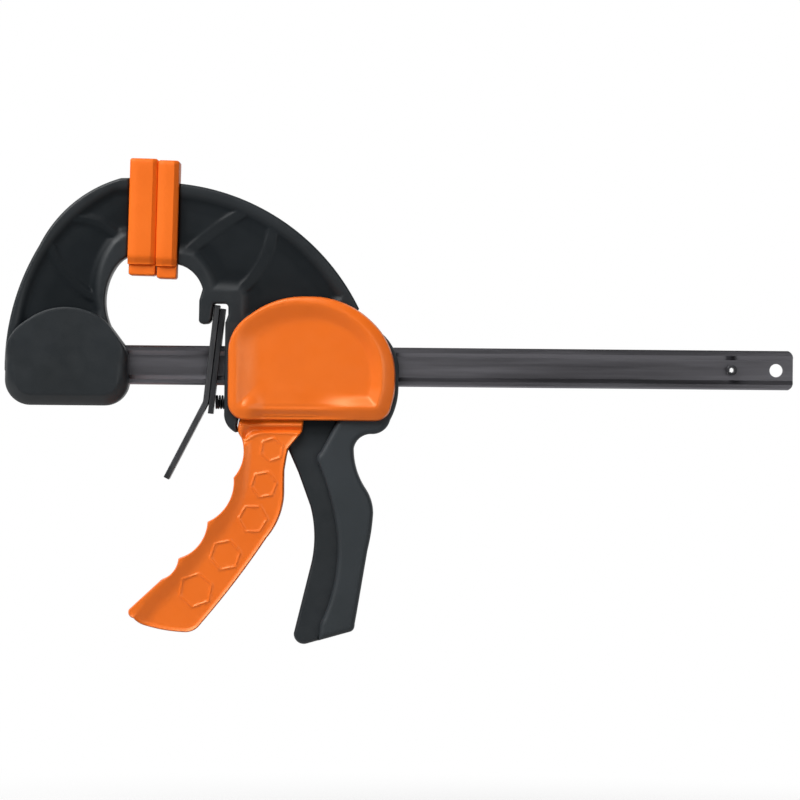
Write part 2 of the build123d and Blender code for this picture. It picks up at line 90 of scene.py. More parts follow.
def arc(a, b, c, step):
    """Points on the circle from a through b to c, without a."""
    ax, ay, bx, by, cx, cy = *a, *b, *c
    divisor = 2 * (ax * (by - cy) + bx * (cy - ay) + cx * (ay - by))
    if abs(divisor) < TINY:
        return straight(a, c, step)
    aa, bb, cc = ax * ax + ay * ay, bx * bx + by * by, cx * cx + cy * cy
    ox = (aa * (by - cy) + bb * (cy - ay) + cc * (ay - by)) / divisor
    oy = (aa * (cx - bx) + bb * (ax - cx) + cc * (bx - ax)) / divisor
    radius = math.hypot(ax - ox, ay - oy)
    start, middle, end = (math.atan2(y - oy, x - ox) for x, y in (a, b, c))
    turn = (end - start) % (2 * math.pi)
    if (middle - start) % (2 * math.pi) > turn:
        turn -= 2 * math.pi
    count = max(2, math.ceil(abs(turn) * radius / step), math.ceil(abs(turn) / ARC_TURN))
    angles = [start + turn * i / count for i in range(1, count + 1)]
    return [(ox + radius * math.cos(angle), oy + radius * math.sin(angle)) for angle in angles]


def path(start, *legs, step=LINE_STEP):
    """A line of points: each leg is a point to run straight to, or an arc's middle and end."""
    points = [start]
    for leg in legs:
        if isinstance(leg[0], tuple):
            points += arc(points[-1], *leg, step)
        else:
            points += straight(points[-1], leg, step)
    return np.array(points)


def closed(start, *legs, step=LINE_STEP):
    """A closed line, run anticlockwise, so that its inside is on its left."""
    points = path(start, *legs, step=step)
    if math.dist(points[0], points[-1]) < TINY:
        points = points[:-1]
    else:
        last_leg = straight(tuple(points[-1]), start, step)[:-1]
        points = np.vstack([points, np.array(last_leg).reshape(-1, 2)])
    after = np.roll(points, -1, axis=0)
    turning = (points[:, 0] * after[:, 1] - after[:, 0] * points[:, 1]).sum()
    return points if turning > 0 else points[::-1].copy()


def rounded(*corners):
    """A closed line with rounded corners, each given as x, z and radius."""
    legs = []
    count = len(corners)
    for i, (_, _, radius) in enumerate(corners):
        before, here, after = (np.array(corners[(i + k) % count][:2], float) for k in (-1, 0, 1))
        back = (before - here) / np.linalg.norm(before - here)
        on = (after - here) / np.linalg.norm(after - here)
        half = math.acos(max(-1, min(1, float(back @ on)))) / 2
        reach = radius / math.tan(half)
        middle = here + (back + on) / np.linalg.norm(back + on) * (radius / math.sin(half) - radius)
        legs += [tuple(here + back * reach), (tuple(middle), tuple(here + on * reach))]
    return closed(*legs)


def box_line(low_x, low_z, high_x, high_z):
    return closed((low_x, low_z), (high_x, low_z), (high_x, high_z), (low_x, high_z))


def circle_line(centre, radius, count=40):
    angles = np.linspace(0, 2 * math.pi, count, endpoint=False)
    return np.stack([centre[0] + radius * np.cos(angles), centre[1] + radius * np.sin(angles)], axis=1)


def segments(line, is_closed):
    if is_closed:
        return line, np.roll(line, -1, axis=0)
    return line[:-1], line[1:]


def distance(points, line, is_closed=True):
    """Distance of each point from a line of points."""
    best = np.full(len(points), np.inf)
    for a, b in zip(*segments(line, is_closed)):
        d = b - a
        share = np.clip(((points - a) @ d) / max(d @ d, TINY ** 2), 0, 1)
        gap = points - a - share[:, None] * d
        best = np.minimum(best, (gap * gap).sum(axis=1))
    return np.sqrt(best)


def inside(points, line):
    """Whether each point is inside a closed line."""
    x, y = points[:, 0], points[:, 1]
    crossed = np.zeros(len(points), bool)
    for (ax, ay), (bx, by) in zip(*segments(line, True)):
        if ay == by:
            continue
        between = (ay > y) != (by > y)
        crossed ^= between & (x < (bx - ax) * (y - ay) / (by - ay) + ax)
    return crossed


def depth(points, line):
    """Distance inside a closed line, negative outside it."""
    return np.where(inside(points, line), 1, -1) * distance(points, line)


def rings(line, depths, is_closed=True):
    """Points at each signed distance to the side of a line, where nothing of the line is nearer."""
    before = np.roll(line, 1, axis=0)
    after = np.roll(line, -1, axis=0)
    if not is_closed:
        before[0], after[-1] = line[0], line[-1]
    along = after - before
    along /= np.maximum(np.linalg.norm(along, axis=1), TINY)[:, None]
    normal = np.stack([-along[:, 1], along[:, 0]], axis=1)
    found = []
    for d in depths:
        spots = line + normal * d
        found.append(spots[distance(spots, line, is_closed) > abs(d) * RING_CLEAR])
    return np.vstack(found)


def both_ways(steps):
    return [step * way for step in steps for way in (1, -1)]


def edge_steps(radius):
    """Where a rounded edge has its points, to both sides of its line."""
    return both_ways([radius * share for share in ROUND_STEPS])


def smooth(value, start, end):
    """0 before start, 1 after end, with an even curve between."""
    t = np.clip((value - start) / (end - start), 0, 1)
    return t * t * (3 - 2 * t)


def edge_round(d, radius):
    """How far a rounded edge has dropped at distance d from it."""
    inner = np.clip(radius - d, 0, radius)
    return radius - np.sqrt(np.maximum(radius * radius - inner * inner, 0))


def edge_bevel(d, width, drop):
    return drop * np.clip(1 - d / width, 0, 1)


# ---- mouldings

# least thickness over a hollow
LEAST_WALL = 0.01
# height of an even triangle, as a share of its side
ROW_SHARE = 0.866
# how near to a line a point may come, as a share of the least distance between points
LINE_CLEAR = 0.4
# points this close are one in the triangulation
MERGE_REACH = 1e-4
SHARP_ANGLE = 38


class Region:
    """A part of a moulding seen from the side, solid from the half width core out to top, a half width or
    a function. A void region holds nothing, and one within the earlier ones acts only where they are."""

    def __init__(self, line, top=0, core=0, void=False, within=False):
        self.line, self.top, self.core, self.void, self.within = line, top, core, void, within

    def half_widths(self, points):
        outer = self.top(points) if callable(self.top) else np.full(len(points), self.top)
        return np.maximum(outer, self.core + LEAST_WALL)


def even_top(half, line, radius):
    """A flat side at a half width, with its edge rounded along a line."""
    def top(points):
        return half - edge_round(distance(points, line), radius)
    return top


def spread_grid(lines, step, clear):
    """An even field of points in the closed lines' box, clear of all lines."""
    low = np.min([line.min(axis=0) for line, is_closed in lines if is_closed], axis=0)
    high = np.max([line.max(axis=0) for line, is_closed in lines if is_closed], axis=0)
    xs = np.arange(low[0] + step / 2, high[0], step)
    zs = np.arange(low[1] + step / 2, high[1], step * ROW_SHARE)
    field = np.array([(x + (step / 2 if k % 2 else 0), z) for k, z in enumerate(zs) for x in xs])
    keep = np.ones(len(field), bool)
    for line, is_closed in lines:
        keep &= distance(field, line, is_closed) > clear
    return field[keep]


def thin_out(spots, least):
    """Leaves out spots that are too near to an earlier one."""
    cells = {}
    kept = []
    for p in spots:
        column, row = int(p[0] // least), int(p[1] // least)
        around = ((column + i, row + j) for i in (-1, 0, 1) for j in (-1, 0, 1))
        near = (q for cell in around for q in cells.get(cell, ()))
        if all((p[0] - q[0]) ** 2 + (p[1] - q[1]) ** 2 > least * least for q in near):
            cells.setdefault((column, row), []).append(p)
            kept.append(p)
    return np.array(kept)


def plan(regions, ring_points, guides, grid, clear, least):
    """Triangles over the regions that keep to every line: points, triangles and their regions."""
    lines = [(region.line, True) for region in regions] + [(guide, False) for guide in guides]
    spots = np.vstack([*ring_points, spread_grid(lines, grid, clear)])
    off_lines = np.ones(len(spots), bool)
    for line, is_closed in lines:
        off_lines &= distance(spots, line, is_closed) > least * LINE_CLEAR
    spots = thin_out(spots[off_lines], least)
    corners, edges = [], []
    for line, is_closed in lines:
        first, count = len(corners), len(line)
        corners += [Vector(p) for p in line]
        edges += [(first + i, first + (i + 1) % count) for i in range(count if is_closed else count - 1)]
    corners += [Vector(p) for p in spots]
    flat, _, triangles, *_ = delaunay_2d_cdt(corners, edges, [], 0, MERGE_REACH)
    flat = np.array([tuple(v) for v in flat])
    triangles = [t for t in triangles if len(t) == 3]
    centres = np.array([flat[list(t)].mean(axis=0) for t in triangles])
    owners = np.full(len(triangles), -1)
    for i, region in enumerate(regions):
        taken = inside(centres, region.line)
        if region.within:
            taken &= owners >= 0
        owners[taken] = -1 if region.void else i
    return flat, triangles, owners


class Skin:
    """The mesh of a moulding as it grows. A corner is a spot of the plan, a region, whether it is outer or on
    the hollow's wall, and the side of the clamp, -1 or 1."""

    def __init__(self, flat, regions, sides):
        self.flat, self.sides = flat, sides
        self.cores = [region.core for region in regions]
        self.halves = [None if region.void else region.half_widths(flat) for region in regions]
        self.points, self.index, self.faces = [], {}, []

    def corner(self, spot, region, outer, side):
        half = self.halves[region][spot] if outer else self.cores[region]
        key = (spot, round(half * side, 4))
        if key not in self.index:
            self.index[key] = len(self.points)
            self.points.append((self.flat[spot][0] * MM, half * side * MM, self.flat[spot][1] * MM))
        return self.index[key]

    def face(self, corners, side=-1):
        """A face whose corners are listed for the side -1. Corners that fall together are one."""
        ids = [self.corner(*corner) for corner in corners]
        ids = ids if side < 0 else ids[::-1]
        ids = [n for k, n in enumerate(ids) if n != ids[k - 1]]
        if len(set(ids)) >= 3:
            self.faces.append(ids)

    def triangle(self, spots, region):
        """The outer surface over a triangle of the plan, and the hollow's wall under it."""
        for side in self.sides:
            self.face([(spot, region, True, side) for spot in spots], side)
            if self.cores[region] > 0:
                self.face([(spot, region, False, side) for spot in spots], -side)

    def step(self, a, b, top, foot, side):
        """A face over the plan's edge a b between two levels, each a region, and outer or not."""
        self.face([(a, *top, side), (a, *foot, side), (b, *foot, side), (b, *top, side)], side)

    def across(self, a, b, level, way, side=-1):
        """A face over the plan's edge a b, from one side of the clamp to the other."""
        self.face([(a, *level, way), (a, *level, -way), (b, *level, -way), (b, *level, way)], side)

    def border(self, a, b, region, beyond):
        """The faces over the plan's edge a b, with a region before it and another or none beyond."""
        here, there = self.cores[region], self.cores[beyond] if beyond >= 0 else 0
        if beyond < 0 and here > 0:
            for side in self.sides:
                self.step(a, b, (region, True), (region, False), side)
        elif beyond < 0:
            self.across(a, b, (region, True), -1)
        elif beyond < region:
            for side in self.sides:
                self.step(a, b, (region, True), (beyond, True), side)
                if here > 0 and there > 0 and here != there:
                    self.step(a, b, (beyond, False), (region, False), side)
            if here > 0 and there == 0:
                self.across(a, b, (region, False), 1)
            elif here == 0 and there > 0:
                self.across(a, b, (beyond, False), 1, side=1)


def moulding(name, regions, ring_points, guides=(), grid=1.8, clear=1, least=0.12, turn=None,
             sides=(-1, 1)):
    """A closed mesh from regions seen from the side. Later regions win where they overlap."""
    flat, triangles, owners = plan(regions, ring_points, guides, grid, clear, least)
    skin = Skin(flat, regions, sides)
    beside = {}
    for spots, region in zip(triangles, owners):
        if region >= 0:
            beside.update({(spots[k], spots[(k + 1) % 3]): region for k in range(3)})
    for spots, region in zip(triangles, owners):
        if region < 0:
            continue
        skin.triangle(spots, region)
        for k in range(3):
            a, b = spots[k], spots[(k + 1) % 3]
            skin.border(a, b, region, beside.get((b, a), -1))
    points = skin.points if turn is None else [tuple(turn @ Vector(p)) for p in skin.points]
    return mesh_object(name, points, skin.faces)


def new_object(name, data):
    obj = bpy.data.objects.new(name, data)
    bpy.context.scene.collection.objects.link(obj)
    return obj


def mesh_object(name, points, faces, sharp=SHARP_ANGLE):
    """An object shaded smooth, but for edges that turn by more than sharp."""
    mesh = bpy.data.meshes.new(name)
    mesh.from_pydata(points, [], faces)
    mesh.validate(clean_customdata=False)
    mesh.update()
    clean = bmesh.new()
    clean.from_mesh(mesh)
    bmesh.ops.dissolve_degenerate(clean, dist=1e-7, edges=clean.edges)
    bmesh.ops.recalc_face_normals(clean, faces=clean.faces)
    clean.to_mesh(mesh)
    clean.free()
    mesh.shade_smooth()
    mesh.set_sharp_from_angle(angle=math.radians(sharp))
    return new_object(name, mesh)


# ---- materials

# scales of the patterns, per metre, and the height of the finest
COLOUR_SCALE = 28
GLOSS_SCALE = 160
GRAIN_SCALE = 2600
STREAK_SCALE = 60
GRAIN_HEIGHT_M = 0.0001
STEEL_GRAIN = 0.25

# the spans over which a surface turns sunk, in metres, and its shares of colour and gloss there; the colour
# share is painted shade in the recesses
RECESS_DEPTHS = (0.0091, 0.0103)
RECESS_HEIGHTS = (-0.112, -0.1)
RECESS_SHADE = 0.72
RECESS_GLOSS = 0.3

WHITE = (1, 1, 1, 1)
WARM = (1, 0.74, 0.44, 1)

# two screen colours, roughness, grain, gloss and its tint
PLASTICS = {
    "dark_plastic": ((25, 30, 33), (30, 35, 39), 0.42, 0.12, 0.4, WHITE),
    # grip_plastic is the jaw's plastic with a rougher finish, painted lighter for the light that the wide
    # grip catches
    "grip_plastic": ((42, 47, 50), (48, 53, 57), 0.5, 0.2, 0.3, WHITE),
    "orange_plastic": ((238, 108, 22), (244, 114, 27), 0.34, 0.06, 0.9, WARM),
    "orange_pad": ((238, 107, 24), (245, 114, 29), 0.5, 0.1, 0.45, WARM),
}

# two screen colours, roughness, and how close the streaks are along x, y and z
STEELS = {
    "bar_steel": ((102, 101, 105), (127, 126, 131), 0.34, (0.12, 3, 3)),
    "pin_steel": ((50, 50, 52), (84, 84, 87), 0.35, (2, 2, 2)),
    "lever_steel": ((71, 72, 74), (93, 94, 96), 0.4, (3, 3, 0.3)),
    "plate_steel": ((50, 51, 53), (70, 71, 73), 0.42, (3, 3, 0.3)),
    "spring_steel": ((45, 45, 46), (70, 70, 72), 0.35, (3, 3, 3)),
}


def linear(rgb):
    """A screen colour of 0 to 255 as light, with full alpha."""
    return [((c / 255 + 0.055) / 1.055) ** 2.4 if c > 10 else c / 255 / 12.92 for c in rgb] + [1]


def feed(tree, node, inputs):
    """Feeds a node's inputs, by name or number, with sockets or plain values."""
    for name, value in inputs.items():
        if isinstance(value, bpy.types.NodeSocket):
            tree.links.new(value, node.inputs[name])
        else:
            node.inputs[name].default_value = value
    return node


def add(tree, kind, inputs, **settings):
    node = tree.nodes.new("ShaderNode" + kind)
    for name, value in settings.items():
        setattr(node, name, value)
    return feed(tree, node, inputs)


def new_material(name):
    material = bpy.data.materials.new(name)
    material.use_nodes = True
    return material, material.node_tree, material.node_tree.nodes["Principled BSDF"]


def object_place(tree):
    return add(tree, "TexCoord", {}).outputs["Object"]


def split(tree, vector):
    return add(tree, "SeparateXYZ", {0: vector}).outputs


def noise(tree, vector, scale, detail=3, rough=0.5):
    inputs = {"Vector": vector, "Scale": scale, "Detail": detail, "Roughness": rough}
    return add(tree, "TexNoise", inputs).outputs["Fac"]


def colours(tree, value, span, *screen_colours):
    """Two screen colours at the ends of a span of values."""
    node = add(tree, "ValToRGB", {"Fac": value})
    for element, position, rgb in zip(node.color_ramp.elements, span, screen_colours):
        element.position = position
        element.color = linear(rgb)
    return node.outputs["Color"]


def remap(tree, value, span, to_span, kind="LINEAR"):
    """Turns one span of values into another."""
    ends = dict(zip(("From Min", "From Max", "To Min", "To Max"), (*span, *to_span)))
    return add(tree, "MapRange", {"Value": value, **ends}, interpolation_type=kind).outputs["Result"]


def combine(tree, operation, *values):
    return add(tree, "Math", dict(enumerate(values)), operation=operation).outputs[0]


def bump(tree, height, strength):
    inputs = {"Height": height, "Strength": strength, "Distance": GRAIN_HEIGHT_M}
    return add(tree, "Bump", inputs).outputs["Normal"]


def plastic(name, dark, light, roughness, grain, gloss, tint):
    """Moulded plastic: slow colour variation, fine grain and slightly uneven gloss."""
    material, tree, shader = new_material(name)
    where = object_place(tree)
    slow = noise(tree, where, COLOUR_SCALE)
    uneven = noise(tree, where, GLOSS_SCALE)
    fine = noise(tree, where, GRAIN_SCALE, detail=2, rough=0.6)
    feed(tree, shader, {
        "Base Color": colours(tree, slow, (0.3, 0.7), dark, light),
        "Roughness": remap(tree, uneven, (0.3, 0.7), (roughness - 0.04, roughness + 0.05)),
        "Normal": bump(tree, fine, grain), "Specular IOR Level": gloss, "Specular Tint": tint})
    return material


def steel(name, dark, light, roughness, streak):
    """Drawn or ground steel: streaks along its length and small specks."""
    material, tree, shader = new_material(name)
    stretch = add(tree, "Mapping", {"Vector": object_place(tree), "Scale": streak})
    lines = noise(tree, stretch.outputs["Vector"], STREAK_SCALE, detail=4, rough=0.6)
    feed(tree, shader, {
        "Base Color": colours(tree, lines, (0.3, 0.72), dark, light),
        "Roughness": remap(tree, lines, (0.3, 0.7), (roughness - 0.06, roughness + 0.07)),
        "Normal": bump(tree, lines, STEEL_GRAIN), "Metallic": 1})
    return material


def paint_recess_shade(material):
    """Paints shade into the jaws' sunk surfaces, so they are darker than the rims, and makes them duller."""
    tree = material.node_tree
    shader = tree.nodes["Principled BSDF"]
    place_xyz = split(tree, object_place(tree))
    sunk = remap(tree, combine(tree, "ABSOLUTE", place_xyz["Y"]), RECESS_DEPTHS, (1, 0))
    above = remap(tree, place_xyz["Z"], RECESS_HEIGHTS, (0, 1))
    both = combine(tree, "MULTIPLY", sunk, above)
    # painted shade: the sunk surfaces' colour is multiplied down by the recess share
    inputs = {"Factor": both, "A": shader.inputs["Base Color"].links[0].from_socket,
              "B": (*[RECESS_SHADE] * 3, 1)}
    shaded_colour = add(tree, "Mix", inputs, data_type="RGBA", blend_type="MULTIPLY")
    full = shader.inputs["Specular IOR Level"].default_value
    gloss = remap(tree, both, (0, 1), (full, full * RECESS_GLOSS))
    feed(tree, shader, {"Base Color": shaded_colour.outputs["Result"], "Specular IOR Level": gloss})


MATERIALS = {name: plastic(name, *look) for name, look in PLASTICS.items()}
MATERIALS.update({name: steel(name, *look) for name, look in STEELS.items()})
# painted shade in the jaws' recesses, in the dark plastic's colour
paint_recess_shade(MATERIALS["dark_plastic"])


def place(obj, body, slot, *nodes):
    """Sets a piece on its body, in its material, in place of nodes."""
    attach(obj, body)
    if nodes:
        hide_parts(*nodes)
    obj.data.materials.clear()
    obj.data.materials.append(MATERIALS[slot])
    return obj


# ---- jaws

JAW_EDGE = 1.3
# the wall between rim and web, as distances inside the recess's line, and where it has its points
WALL_START = -1.6
WALL_END = 4.4
WALL_STEPS = (0, 0.12, 0.28, 0.5, 0.72, 0.88, 1)
# how much a web swells towards its middle, and over which distances
WEB_SWELL = 0.5
WEB_SWELL_SPAN = (3, 12)
# half widths of a jaw's web and ribs, and half the width of a rib's top with the width of its foot
FIXED_WEB = (8, 9.1, 1.3, 2.4)
ARM_WEB = (8.8, 9.5, 2.2, 1.5)
RIB_ROUND = 0.35

# the boot's edge is rounded and bevelled low down, and crisp high up
BOOT_EDGE = 6
BOOT_TOP_EDGE = 0.6
BOOT_BEVEL = 5.2
BOOT_BEVEL_SLOPE = 0.7
BOOT_LOW = (-84, -74)
BOOT_LOW_ROUNDING = 0.7
BOOT_HIGH = (-72, -58)
# how much the boot's face swells low down, and at which distances from its edge
BOOT_PILLOW = 0.5
BOOT_PILLOW_SPAN = (4, 16)


def rib_height(points, line, half, foot):
    """1 on a rib's top and 0 beyond its foot."""
    return 1 - smooth(distance(points, line, False), half - RIB_ROUND, half + foot)


def rib_rings(line, half, foot):
    steps = [half - 0.5, half - 0.2, half + foot * 0.3, half + foot * 0.65, half + foot]
    return rings(line, both_ways(steps), False)


def jaw_profile(side, recess, ribs, sizes):
    """Half width of a jaw: rims round a sunk web that swells a little, and curved ribs across it."""
    web_half, rib_half, rib_top, rib_foot = sizes

    def top(p):
        sunk = depth(p, recess)
        web = web_half + WEB_SWELL * smooth(sunk, *WEB_SWELL_SPAN)
        high = RIM + (web - RIM) * smooth(sunk, WALL_START, WALL_END)
        for rib in ribs:
            high = np.maximum(high, web + (rib_half - web) * rib_height(p, rib, rib_top, rib_foot))
        return high - edge_round(distance(p, side), JAW_EDGE)
    return top


def jaw_rings(side, recess, ribs, sizes):
    wall = [WALL_START + (WALL_END - WALL_START) * share for share in WALL_STEPS]
    rib_top, rib_foot = sizes[2:]
    return [rings(side, edge_steps(JAW_EDGE)), rings(recess, wall),
            *[rib_rings(rib, rib_top, rib_foot) for rib in ribs]]


def make_fixed_jaw():
    side = closed(
        (-13.2, 18.9), (-17.4, 18.8), ((-38.9, 7.9), (-56.7, -14)), ((-69.1, -43.2), (-73, -74.5)),
        (-66, -84), (-22, -80), (-15.4, -61.7), (-22.2, -52.7), ((-24.7, -39), (-19.3, -23.5)),
        ((-16.6, -20.7), (-13.95, -19)))
    recess = closed(
        (-8, 14.3), (-17, 14.3), ((-20, 14.2), (-23, 12.9)), ((-50.5, -10.5), (-67.2, -62)),
        (-28, -62), (-27.2, -45), ((-27.9, -28.8), (-20.6, -12.2)), (-16.5, -8.6), (-8, -8))
    boot = rounded(
        (-73, -91.3, 12.5), (-12.9, -91.3, 12.3), (-12.9, -65.7, 13), (-24.8, -49.4, 18),
        (-45.5, -38.8, 31), (-72.6, -57.2, 20))
    ribs = [path((-44.5, -1.4), ((-29.5, -3), (-15, -14.5))),
            path((-51.6, -13.5), ((-42.3, -29.6), (-26, -41)))]
    jaw_top = jaw_profile(side, recess, ribs, FIXED_WEB)

    def boot_top(p):
        d = distance(p, boot)
        high_up = smooth(p[:, 1], *BOOT_HIGH)
        low_down = 1 - smooth(p[:, 1], *BOOT_LOW)
        radius = BOOT_EDGE - (BOOT_EDGE - BOOT_TOP_EDGE) * high_up
        rounding = edge_round(d, radius) * (1 - BOOT_LOW_ROUNDING * low_down)
        bevel = BOOT_BEVEL_SLOPE * np.clip(BOOT_BEVEL - d, 0, BOOT_BEVEL) * low_down
        pillow = BOOT_PILLOW * (1 - smooth(d, *BOOT_PILLOW_SPAN)) * (1 - high_up)
        high = BOOT - rounding - bevel - pillow
        return np.where(inside(p, side), np.maximum(high, jaw_top(p)), high)

    regions = [Region(side, jaw_top), Region(boot, boot_top)]
    boot_rings = rings(boot, edge_steps(BOOT_EDGE) + both_ways([BOOT_BEVEL]))
    jaw = moulding("fixed_jaw_body", regions, [*jaw_rings(side, recess, ribs, FIXED_WEB), boot_rings])
    place(jaw, "fixed_frame", "dark_plastic", "fixed_jaw")


COVER_LINE = rounded(
    (35.2, -97.6, 8.5), (35.2, -54.2, 21), (58.2, -37.8, 42), (92.1, -37.8, 42), (115.9, -60.4, 35),
    (115.9, -84, 25), (112.3, -97.6, 8))
# half widths of the mechanism's pocket and of the bar's way through the housing
POCKET_HALF = 8.8
BAR_WAY_HALF = 3.8
BAR_WAY_LOW = BAR_Z - BAR_HALF - 0.3
BAR_WAY_HIGH = BAR_Z + BAR_HALF + 0.3
GRIP_EDGE = 2.6
NARROW_EDGE = 1.6
FRONT_EDGE = 1.2
# where the housing's front edge turns from rounded to square, going up
FRONT_TOP = (-57, -51.5)
POCKET_FOOT = (39.3, -100.5)
POCKET_TOP = (47.5, -61)
POCKET_HEEL = (89.3, -95.5)
POCKET_ROUND = 7.3
# rooms in the housing, and the hole for the brake spring, each as low x, low z, high x and high z
TRIGGER_ROOM = (44, -82, 70.95, -61.2)
PLATE_ROOM = (70.35, -94.4, 82.95, -48.4)
SPRING_ROOM = (70.95, -84.2, 111, -58.6)
BRAKE_SPRING_HOLE = (29.5, -92.8, 39.5, -85.4)
BRAKE_SPRING_HALF = 3.7


def make_sliding_jaw():
    arm = closed(
        (10.7, 16.4), ((63, -2.6), (98.1, -43.2)), (88, -60), (37, -60), (33.6, -50.5),
        (34.9, -46.9), (34.9, -43.8), ((34.4, -42.1), (32.8, -41.4)), (29.2, -41.4),
        ((28, -41.8), (27.6, -43)), (26.8, -48.8), ((25.9, -50.7), (24.2, -51.3)), (23, -51.4),
        ((21.3, -50.8), (20.7, -49)),
        (20.8, -40), (22.4, -34.5), ((18.2, -27.1), (10, -22.5)))
    recess = closed(
        (5, 12.4), (11, 12), ((53.8, -1.6), (89.8, -37.2)), (80, -52), (42.1, -48), (42, -37.7),
        (40.5, -34.4), (27, -33.8), ((23.6, -24.9), (18.1, -18.1)), (12.8, -16.7), (5, -16))
    ribs = [path((12, -20), ((25.9, -7.8), (46.5, 5.5))),
            path((56.6, 0), ((52.7, -18.7), (38, -37.2)))]
    front = closed(
        (33.6, -50.5), (33.4, -82), (33.4, -94), ((34.9, -100.1), (39, -103.7)), (39.9, -103.5),
        POCKET_FOOT, POCKET_TOP, (47.5, -50.5))
    narrow = closed(
        (63.6, -82), (84, -82), (92, -112), (96, -145), (90, -190), (80, -203.9),
        (74.5, -205.5), ((69.3, -204.3), (67.9, -200.6)), (76.2, -166.1), ((77.4, -153), (75.4, -139)),
        (69.5, -122.9), (64.6, -112), (63.6, -108))
    pocket = closed(
        (39.9, -103.5), POCKET_FOOT, POCKET_TOP, (PIVOT[0] - POCKET_ROUND, PIVOT[1]),
        ((PIVOT[0], PIVOT[1] + POCKET_ROUND), (PIVOT[0] + POCKET_ROUND, PIVOT[1])), (69.5, -62),
        (76, -80), (86, -91), POCKET_HEEL, (84, -103.5))
    mouth = closed((40, -104), POCKET_FOOT, (43.1, -82), (63.6, -82), (63.6, -104))
    rear = closed((96, -60), (107.3, -53.6), (121, -60), (121, -97), (96, -90))
    bar_way = box_line(33, BAR_WAY_LOW, 47.5, BAR_WAY_HIGH)

    def front_top(p):
        at_top = smooth(p[:, 1], *FRONT_TOP)
        return BODY - edge_round(distance(p, front), FRONT_EDGE) * (1 - at_top)

    regions = [
        Region(arm, jaw_profile(arm, recess, ribs, ARM_WEB)),
        Region(narrow, even_top(NARROW, narrow, NARROW_EDGE)),
        Region(COVER_LINE, HOUSING),
        Region(front, front_top),
        Region(pocket, POCKET_HALF, within=True),
        Region(rear, void=True),
        *[Region(box_line(*room), void=True) for room in (TRIGGER_ROOM, PLATE_ROOM, SPRING_ROOM)],
        Region(mouth, void=True),
        Region(bar_way, front_top, core=BAR_WAY_HALF, within=True),
        Region(box_line(*BRAKE_SPRING_HOLE), front_top, core=BRAKE_SPRING_HALF, within=True),
        Region(circle_line(PIVOT, PIN_RADIUS), void=True)]
    ring_points = [
        *jaw_rings(arm, recess, ribs, ARM_WEB), rings(narrow, edge_steps(NARROW_EDGE)),
        rings(front, edge_steps(FRONT_EDGE))]
    jaw = moulding("sliding_jaw_body", regions, ring_points)
    place(jaw, "sliding_head", "dark_plastic", "sliding_jaw")


def make_hand_grip():
    """The rear of the sliding jaw's moulding, in the same plastic painted lighter for the light that it
    catches.
    """
    grip = closed(
        (96, -60), (107.3, -53.6), ((115, -62.4), (117.4, -78)), ((116.9, -88), (113.6, -97.2)),
        ((110.4, -102.1), (104.5, -103.9)), ((98.7, -106.2), (96.1, -111)),
        ((97.7, -121.5), (101.9, -130.3)), ((105.1, -137.2), (105.8, -142.5)),
        ((105, -151), (103.2, -160.5)), (98.4, -190),
        (97.3, -196.4), ((96.8, -198.4), (95, -199.6)), (80, -203.9), (80.8, -195.4),
        ((87.9, -172), (88.2, -151)), ((85.3, -136.3), (79.3, -119)), ((78.4, -115.8), (80.1, -112.7)),
        POCKET_HEEL, (96, -90))
    grip_top = even_top(BODY, grip, GRIP_EDGE)
    bar_way = box_line(105, BAR_WAY_LOW, 121, BAR_WAY_HIGH)
    regions = [Region(grip, grip_top), Region(bar_way, grip_top, core=BAR_WAY_HALF, within=True)]
    hand = moulding("hand_grip", regions, [rings(grip, edge_steps(GRIP_EDGE))], grid=2)
    place(hand, "sliding_head", "grip_plastic", "sliding_jaw")


# ---- covers

SCREW_PLACES = ((44.5, -58), (92, -49.5), (101, -91.5))
SCREW_POST = 3.4
SCREW_HEAD = 3
SCREW_SHANK = 1.7
SCREW_SEAT = 14.9
COVER_CENTRE = (75, -70)
COVER_WALL = 2.2
COVER_EDGE = 0.35
# width and drop of the bevel
COVER_BEVEL = (0.6, 1.1)
# distances from the edge and from the crest at which the cover has its points
BORDER_STEPS = (0.6, 0.9, 1.3, 1.8, 2.4, 3, 3.7)
CREST_STEPS = (0.4, 0.8, 1.2, 1.7, 2.3, 3, 3.8, 4.7, 5.7, 6.8, 8, 9.2, 10.4)
CREST_STEPS_OUT = 7
# the crest's distance from the edge, and its change along x and z and at the upper left corner
CREST_INSET = 5.4
CREST_SHIFT = (-1.2, 1.3)
CREST_CORNER = (-0.6, 0.8)
CREST_CORNER_POWER = 4
CREST_CORNER_INSET = 2.2
# how far the crest is rounded off, and over which distance
CREST_ROUND = 0.2
CREST_SOFT = 0.8
DISH_FLOOR = 16.3
DISH_DEPTH = 2.9
# rise of the border to the crest: in the middle, and its change along x and z
BORDER_RISE = (1.9, 1.1, -0.7)
BORDER_LEAST_RISE = 0.2
BORDER_POWER = 1.2
# width of the slope's steep part: in the middle, along x and z, and at the upper left corner
DISH_STEEP = (3.6, 1.2, 0.9, 3)
# whole width of the dish's slope: in the middle, and its change along x
DISH_WIDTH = (9.4, -3.4)
# by the middle of the lower edge the dish is shallower and the border steps up
LOW_MIDDLE_LEFT = (44, 54)
LOW_MIDDLE_RIGHT = (74, 98)
LOW_MIDDLE_TOP = (-88, -76)
LOW_MIDDLE_SHALLOW = 0.9
LOW_BORDER_RISE = 2.2
LOW_BORDER_SPAN = (0.2, 0.85)


def corner_share(direction):
    """1 towards the cover's upper left corner, easing to 0 away from it."""
    return np.clip(direction @ np.array(CREST_CORNER), 0, 1) ** CREST_CORNER_POWER


